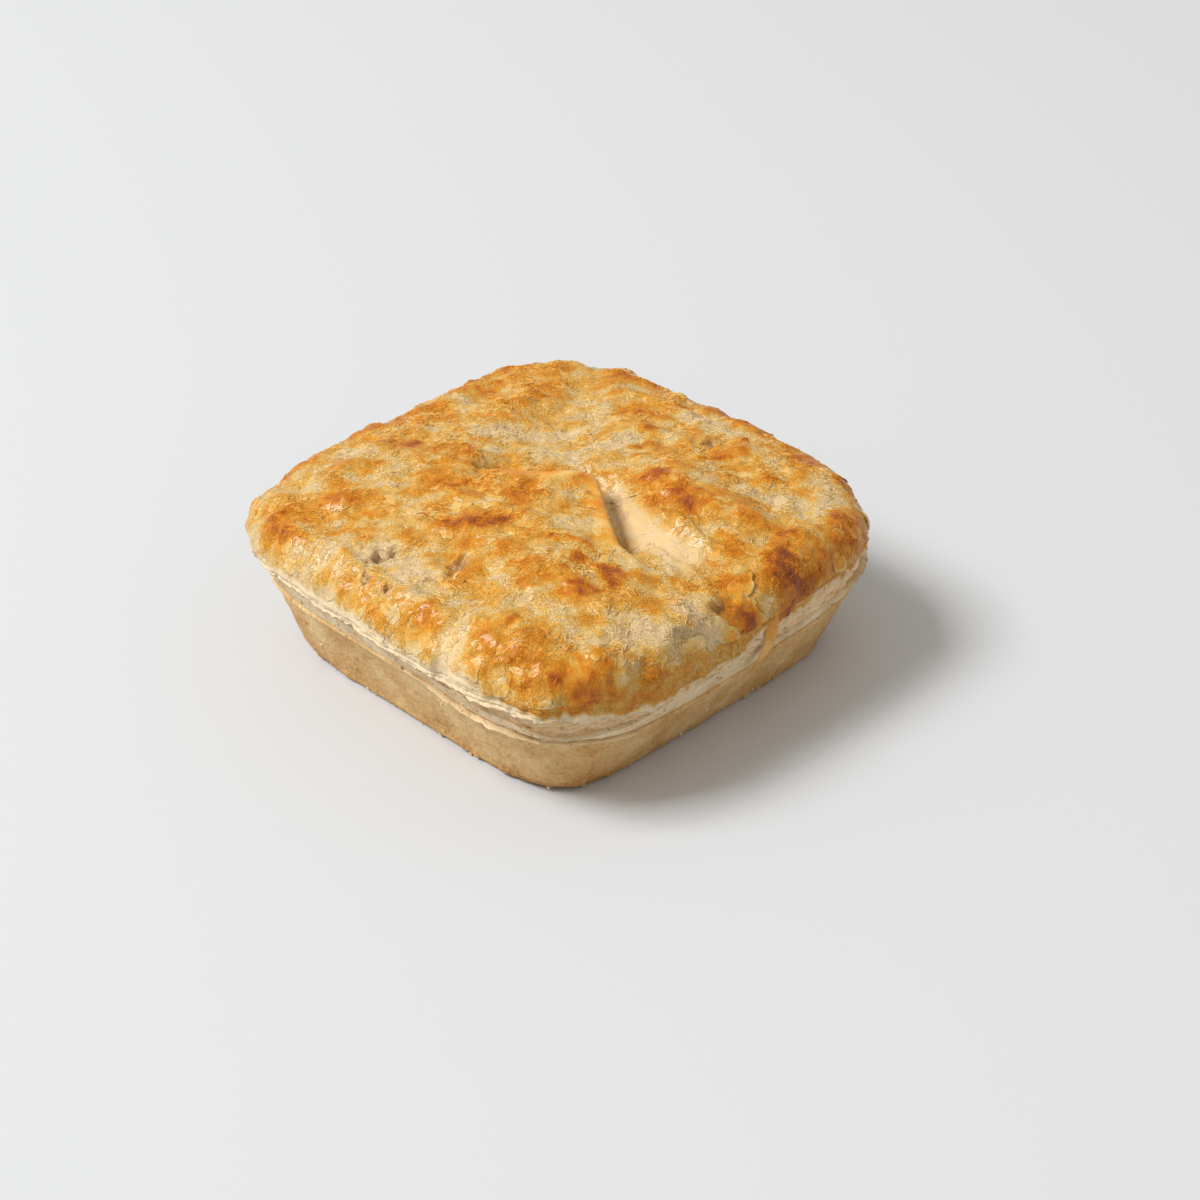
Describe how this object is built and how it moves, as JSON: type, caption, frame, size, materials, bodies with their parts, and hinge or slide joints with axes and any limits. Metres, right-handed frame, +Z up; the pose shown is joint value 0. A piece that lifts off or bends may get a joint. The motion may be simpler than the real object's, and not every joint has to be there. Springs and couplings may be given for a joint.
{
  "type": "pork pie",
  "caption": "Individual square pie with a tapered shortcrust case, a trimmed edge and a puffed, browned pastry lid folded open at the middle.",
  "frame": {"origin": "on the table, under the middle of the lid's outline", "axes": "+Z up; the pie's four straight sides face +X, -X, +Y and -Y; the slit's pointed fold opens towards +X"},
  "size_m": [0.1, 0.1, 0.0377],
  "materials": {
    "case_pastry": "dry, matt baked shortcrust",
    "lid_pastry": "egg-washed puff pastry, golden with brown blisters"
  },
  "bodies": {
    "root": {"pastry_case": "case_pastry", "pastry_lid": "lid_pastry"}
  },
  "joints": []
}
